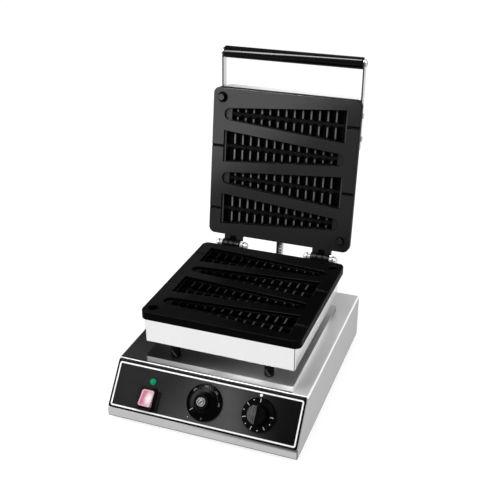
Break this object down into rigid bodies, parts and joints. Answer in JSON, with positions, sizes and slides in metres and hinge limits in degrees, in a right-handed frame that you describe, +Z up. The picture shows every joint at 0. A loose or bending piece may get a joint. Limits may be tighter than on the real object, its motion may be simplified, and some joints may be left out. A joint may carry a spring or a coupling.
{
  "type": "waffle maker",
  "caption": "Counter-top waffle maker: sloping control panel, cast plates with tapered moulds for waffles on sticks, a hinged lid with a bar handle and a ribbed conduit between the hinges.",
  "frame": {"origin": "on the table, under the middle of the part's bounding box with the lid open", "axes": "+X to the right seen from the control panel, +Y to the back, +Z up"},
  "size_m": [0.25, 0.3431, 0.4085],
  "materials": {
    "stainless": "polished stainless sheet",
    "plain_steel": "plain zinc-plated steel",
    "bright": "bright plated",
    "coated_casting": "black non-stick coating on an aluminium casting",
    "panel": "dark printed satin sheet",
    "black_plastic": "glossy black",
    "rocker_red": "glossy translucent red that looks pink in the light",
    "lamp_green": "translucent green",
    "housing_plastic": "moulded, unpainted",
    "rubber": "matte black",
    "fibre": "mineral fibre slab"
  },
  "bodies": {
    "base": {"housing_shell": "stainless", "plinth_tray": "stainless", "lower_casing": "stainless", "bottom_cover": "plain_steel", "stand_legs": "plain_steel", "plinth_spacers": "plain_steel", "hinge_pins": "plain_steel", "cover_screws": "plain_steel", "foot_screws": "plain_steel", "foot_nuts": "plain_steel", "leg_bolts": "plain_steel", "lower_heater_clamp": "plain_steel", "lower_clamp_screws": "plain_steel", "terminal_screws": "plain_steel", "control_nuts": "plain_steel", "conduit_deck_fitting": "plain_steel", "conduit_deck_locknut": "plain_steel", "lower_heater": "plain_steel", "hinge_nuts": "bright", "conduit": "bright", "thermostat_capillary": "bright", "lower_plate": "coated_casting", "control_panel": "panel", "rocker_frame": "black_plastic", "cable_gland": "black_plastic", "gland_locknut": "black_plastic", "pilot_lamp_lens": "lamp_green", "thermostat_body": "housing_plastic", "timer_body": "housing_plastic", "pilot_lamp_body": "housing_plastic", "terminal_block": "housing_plastic", "rubber_feet": "rubber", "wiring_loom": "rubber", "lower_insulation": "fibre"},
    "lid": {"upper_plate": "coated_casting", "upper_casing": "stainless", "upper_heater": "plain_steel", "upper_heater_clamp": "plain_steel", "upper_clamp_screws": "plain_steel", "upper_insulation": "fibre", "lid_screws": "plain_steel", "handle_arm_left": "stainless", "handle_arm_right": "stainless", "arm_screws": "plain_steel", "arm_nuts": "plain_steel", "handle_grip": "black_plastic", "handle_rod": "plain_steel", "handle_screws": "bright", "conduit_lid_fitting": "plain_steel", "conduit_lid_locknut": "plain_steel"},
    "temperature_dial": {"temperature_knob": "black_plastic", "temperature_knob_cap": "bright", "thermostat_shaft": "plain_steel"},
    "timer_dial": {"timer_knob": "black_plastic", "timer_shaft": "plain_steel"},
    "switch_rocker": {"rocker": "rocker_red"}
  },
  "joints": [
    {"name": "lid_hinge", "type": "hinge", "parent": "base", "child": "lid", "pos_m": [0.008, 0.0952, 0.1385], "axis": [1, 0, 0], "range_deg": [0, 97.6], "deforming": ["conduit"]},
    {"name": "temperature_turn", "type": "hinge", "parent": "base", "child": "temperature_dial", "pos_m": [0.0005, -0.15109, 0.04481], "axis": [0, -0.7877, 0.6161], "range_deg": [-270, 0]},
    {"name": "timer_turn", "type": "hinge", "parent": "base", "child": "timer_dial", "pos_m": [0.0705, -0.15109, 0.04481], "axis": [0, -0.7877, 0.6161], "range_deg": [-300, 0]},
    {"name": "rocker_tilt", "type": "hinge", "parent": "base", "child": "switch_rocker", "pos_m": [-0.0747, -0.15524, 0.03383], "axis": [1, 0, 0], "range_deg": [0, 14]}
  ]
}
